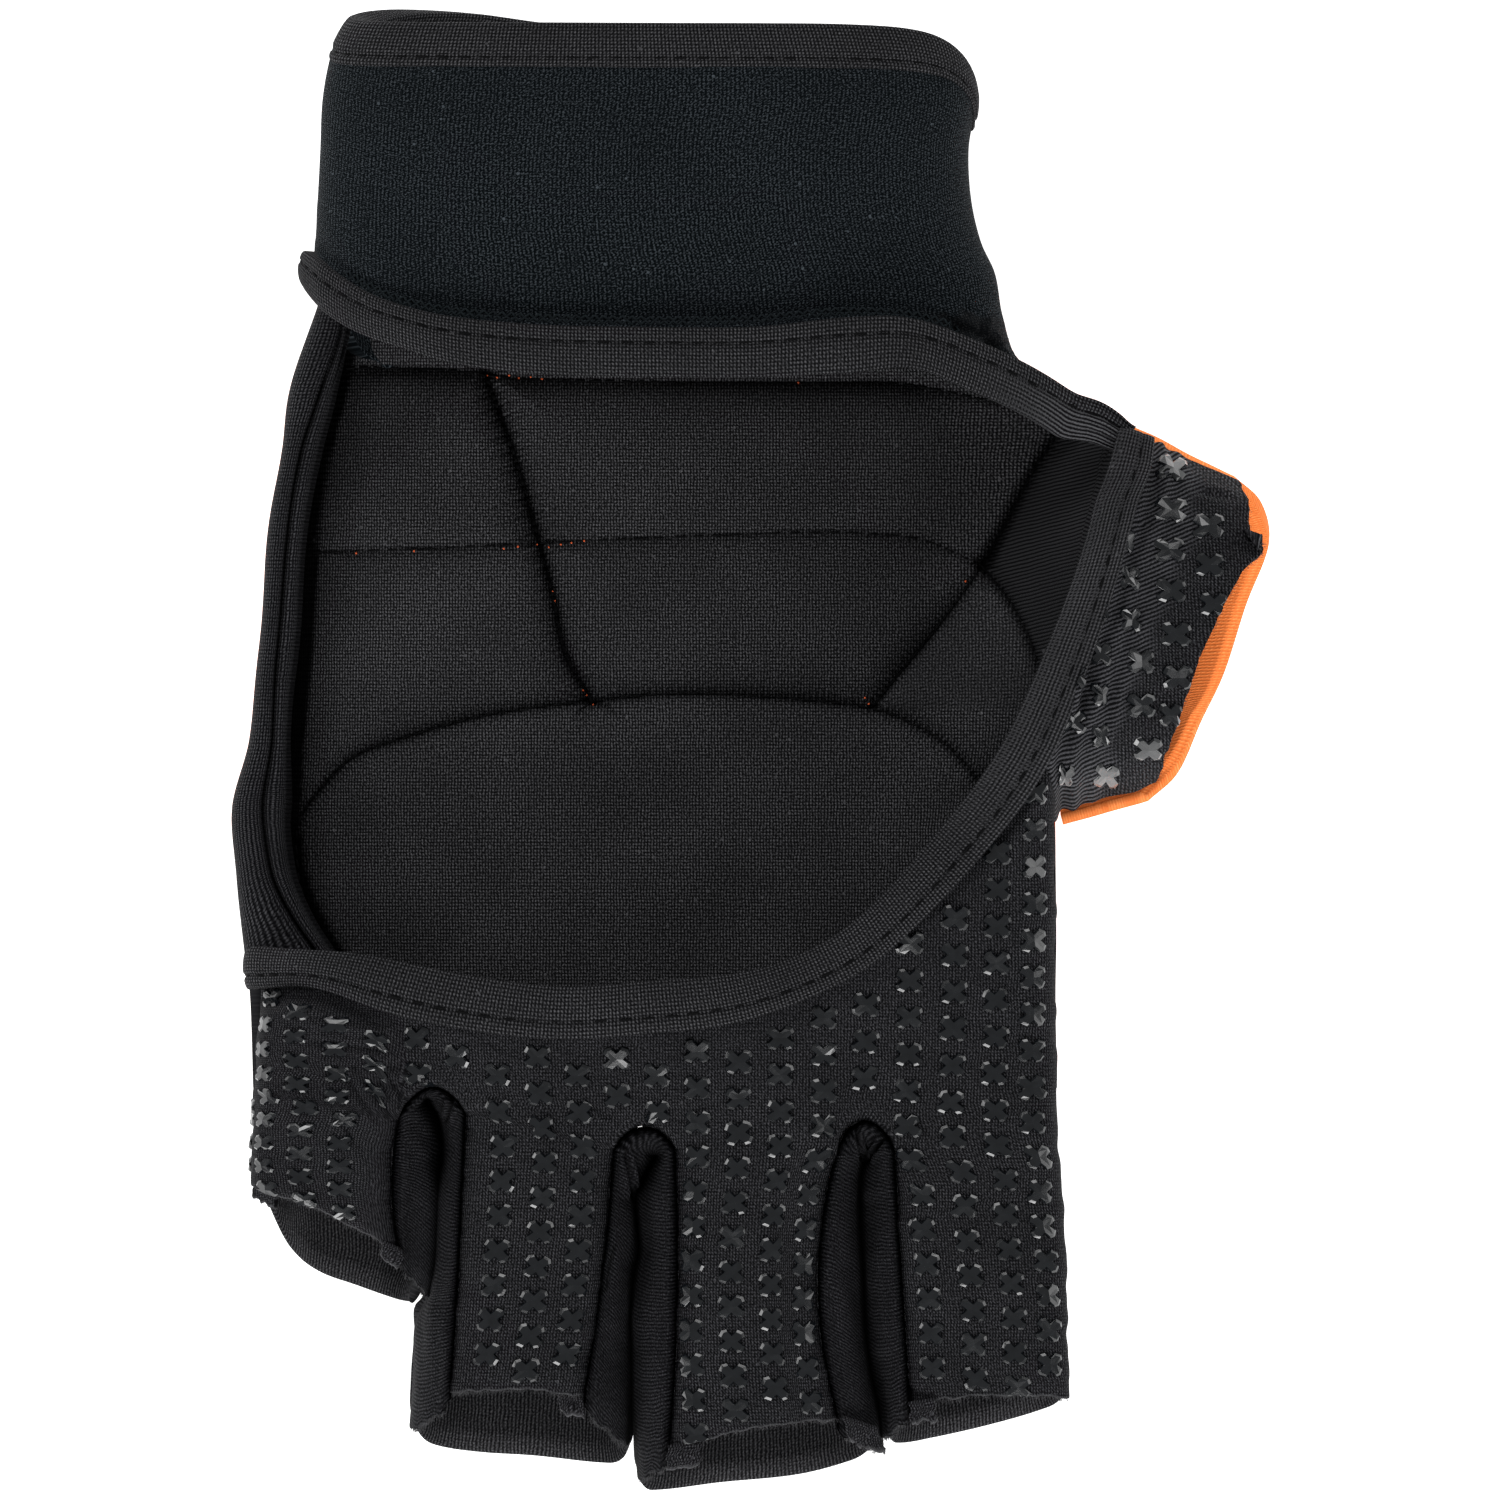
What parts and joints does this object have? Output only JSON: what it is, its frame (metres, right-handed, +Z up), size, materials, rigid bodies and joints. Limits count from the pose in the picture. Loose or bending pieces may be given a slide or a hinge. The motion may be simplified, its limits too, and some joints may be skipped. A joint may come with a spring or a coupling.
{
  "type": "field hockey glove",
  "caption": "Left-hand open-palm field hockey glove with padded back, short open fingers and a neoprene wrist band, lying palm up.",
  "frame": {"origin": "on the floor under the middle of the glove's outline, with the glove lying on its padded back", "axes": "+Z up out of the open palm, +Y towards the wrist, +X towards the thumb"},
  "size_m": [0.139, 0.1985, 0.035],
  "materials": {
    "neoprene": "matt knit-faced neoprene",
    "binding_tape": "fine ribbed elastic tape",
    "side_rib": "diagonal ribbed stretch knit",
    "liner_knit": "fine knit over quilted foam",
    "palm_fabric": "fine ribbed palm fabric",
    "gusset_knit": "matt stretch knit",
    "orange_fabric": "smooth bright orange stretch fabric",
    "silicone_print": "glossy raised silicone crosses"
  },
  "bodies": {
    "root": {"cuff_band": "neoprene", "cuff_top_binding": "binding_tape", "opening_binding": "binding_tape", "ulnar_side_band": "side_rib", "back_pad": "orange_fabric", "back_liner": "liner_knit", "palm_panel": "palm_fabric", "gusset_little_ring": "gusset_knit", "gusset_ring_middle": "gusset_knit", "gusset_middle_index": "gusset_knit", "finger_back_little": "gusset_knit", "finger_back_ring": "gusset_knit", "finger_back_middle": "gusset_knit", "finger_back_index": "gusset_knit", "thumb_palm": "palm_fabric", "thumb_back": "orange_fabric"}
  },
  "joints": []
}
